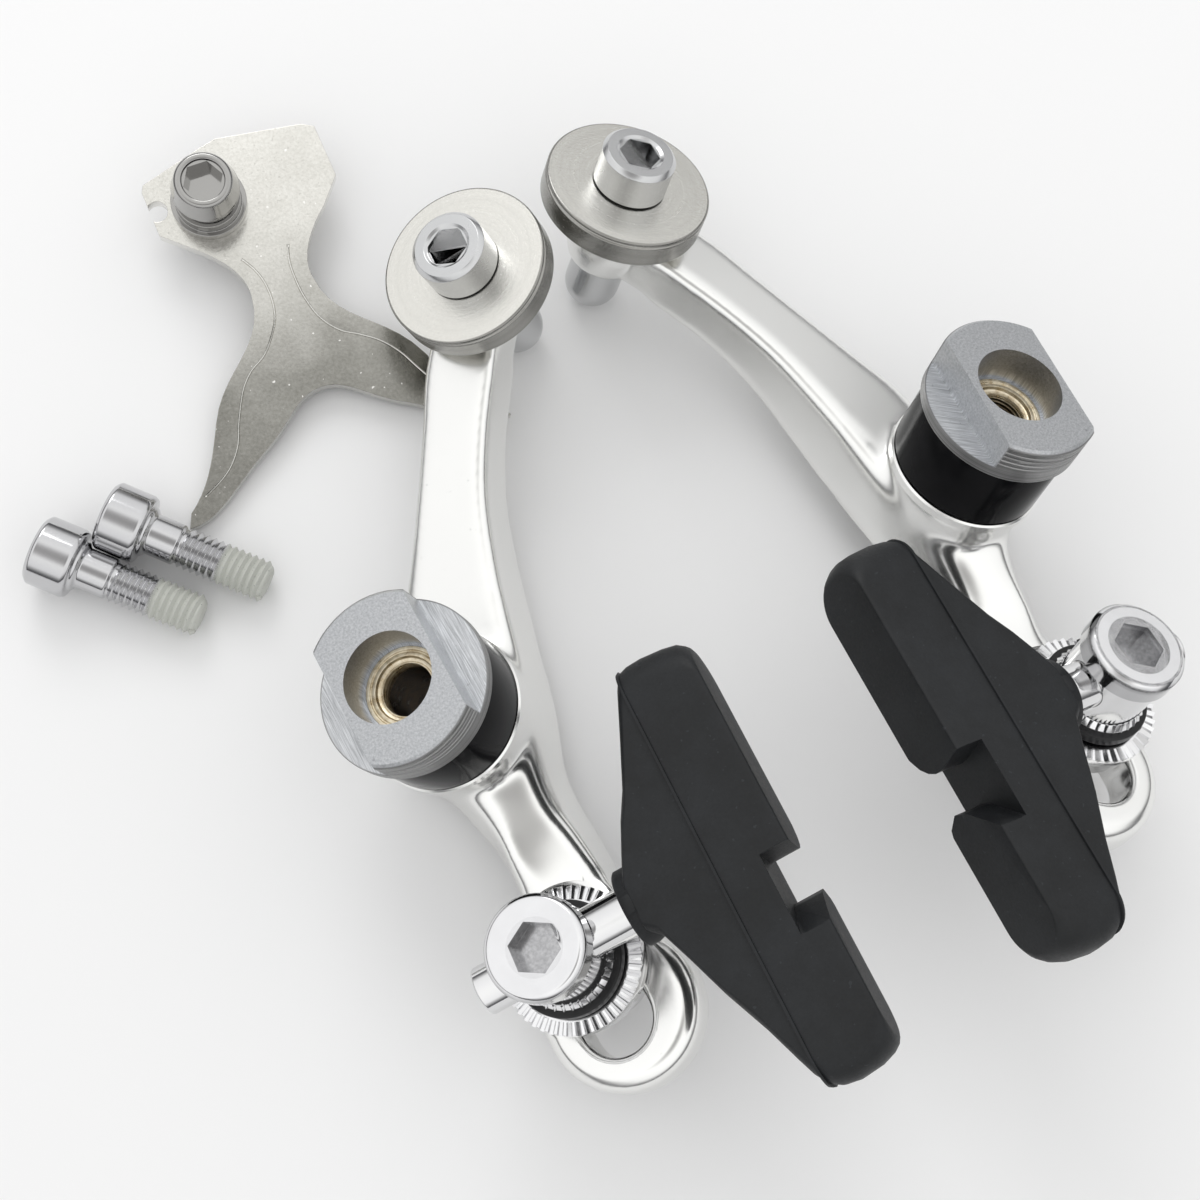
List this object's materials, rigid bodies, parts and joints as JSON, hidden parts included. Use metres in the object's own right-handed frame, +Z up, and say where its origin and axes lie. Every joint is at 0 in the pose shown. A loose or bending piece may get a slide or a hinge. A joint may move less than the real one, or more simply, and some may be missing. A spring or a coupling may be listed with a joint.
{
  "type": "roller cam brake",
  "caption": "Roller cam bicycle brake laid out as a set: two mirrored brake arms with rollers, pivot caps, pad clamps and pads, a forked cam plate and mounting bolts.",
  "frame": {"origin": "middle of the set's outline on the table it lies on", "axes": "+X to the right in the picture, +Y away from the viewer, +Z up from the table"},
  "size_m": [0.1554, 0.1374, 0.0424],
  "materials": {
    "polished_aluminium": "polished",
    "satin_aluminium": "turned satin",
    "roller_nickel": "satin nickel",
    "zinc_steel": "zinc plated",
    "chrome_steel": "chrome plated",
    "bronze": "sintered",
    "cover_black": "glossy black",
    "spring_steel": "plain",
    "ring_rubber": "matte",
    "pad_rubber": "matte moulded",
    "plate_nickel": "matte nickel"
  },
  "bodies": {
    "set": {"left_arm": "polished_aluminium", "right_arm": "polished_aluminium", "left_roller_bolt": "zinc_steel", "right_roller_bolt": "zinc_steel", "left_roller_nut": "zinc_steel", "right_roller_nut": "zinc_steel", "cam_plate": "plate_nickel", "cable_clamp_bolt": "chrome_steel", "cable_clamp_washers": "chrome_steel", "cable_clamp_nut": "zinc_steel", "mounting_bolts": "chrome_steel"},
    "left_roller_body": {"left_roller": "roller_nickel"},
    "left_pivot_body": {"left_pivot_cap": "satin_aluminium", "left_pivot_bush": "bronze", "left_spring_cover": "cover_black", "left_spring": "spring_steel"},
    "left_clamp_body": {"left_seat_washer": "chrome_steel", "left_serrated_ring": "chrome_steel", "left_eye_nut": "zinc_steel"},
    "left_eye_body": {"left_rubber_ring": "ring_rubber", "left_toothed_washer": "chrome_steel", "left_eye_bolt": "chrome_steel", "left_clamp_sleeve": "chrome_steel"},
    "left_pad_body": {"left_pad_post": "chrome_steel", "left_pad": "pad_rubber"},
    "right_roller_body": {"right_roller": "roller_nickel"},
    "right_pivot_body": {"right_pivot_cap": "satin_aluminium", "right_pivot_bush": "bronze", "right_spring_cover": "cover_black", "right_spring": "spring_steel"},
    "right_clamp_body": {"right_seat_washer": "chrome_steel", "right_serrated_ring": "chrome_steel", "right_eye_nut": "zinc_steel"},
    "right_eye_body": {"right_rubber_ring": "ring_rubber", "right_toothed_washer": "chrome_steel", "right_eye_bolt": "chrome_steel", "right_clamp_sleeve": "chrome_steel"},
    "right_pad_body": {"right_pad_post": "chrome_steel", "right_pad": "pad_rubber"}
  },
  "joints": [
    {"name": "left_roller_spin", "type": "hinge", "parent": "set", "child": "left_roller_body", "pos_m": [-0.0172, 0.04045, 0.02004], "axis": [-0.3817, 0.0469, 0.9231], "continuous": true},
    {"name": "left_pivot_turn", "type": "hinge", "parent": "set", "child": "left_pivot_body", "pos_m": [-0.0197, -0.01965, 0.01464], "axis": [-0.3817, 0.0469, 0.9231], "range_deg": [-30, 40]},
    {"name": "left_slot_slide", "type": "slide", "parent": "set", "child": "left_clamp_body", "axis": [0.4721, -0.8487, 0.2383], "range_m": [-0.002, 0.007]},
    {"name": "left_eye_swivel", "type": "hinge", "parent": "left_clamp_body", "child": "left_eye_body", "pos_m": [-0.00539, -0.05185, 0.02371], "axis": [-0.3817, 0.0469, 0.9231], "range_deg": [-10, 10]},
    {"name": "left_post_turn", "type": "hinge", "parent": "left_eye_body", "child": "left_pad_body", "pos_m": [0.00463, -0.04652, 0.02758], "axis": [0.8356, 0.4444, 0.323], "range_deg": [-90, 0]},
    {"name": "right_roller_spin", "type": "hinge", "parent": "set", "child": "right_roller_body", "pos_m": [0.00423, 0.05281, 0.02004], "axis": [0.209, 0.3229, 0.9231], "continuous": true},
    {"name": "right_pivot_turn", "type": "hinge", "parent": "set", "child": "right_pivot_body", "pos_m": [0.05193, 0.01617, 0.01464], "axis": [0.209, 0.3229, 0.9231], "range_deg": [-40, 30]},
    {"name": "right_slot_slide", "type": "slide", "parent": "set", "child": "right_clamp_body", "axis": [0.3481, -0.9066, 0.2383], "range_m": [-0.002, 0.007]},
    {"name": "right_eye_swivel", "type": "hinge", "parent": "right_clamp_body", "child": "right_eye_body", "pos_m": [0.06745, -0.01546, 0.02371], "axis": [0.209, 0.3229, 0.9231], "range_deg": [-10, 10]},
    {"name": "right_post_turn", "type": "hinge", "parent": "right_eye_body", "child": "right_pad_body", "pos_m": [0.05709, -0.02005, 0.02766], "axis": [-0.8637, -0.3817, 0.329], "range_deg": [0, 90]}
  ]
}
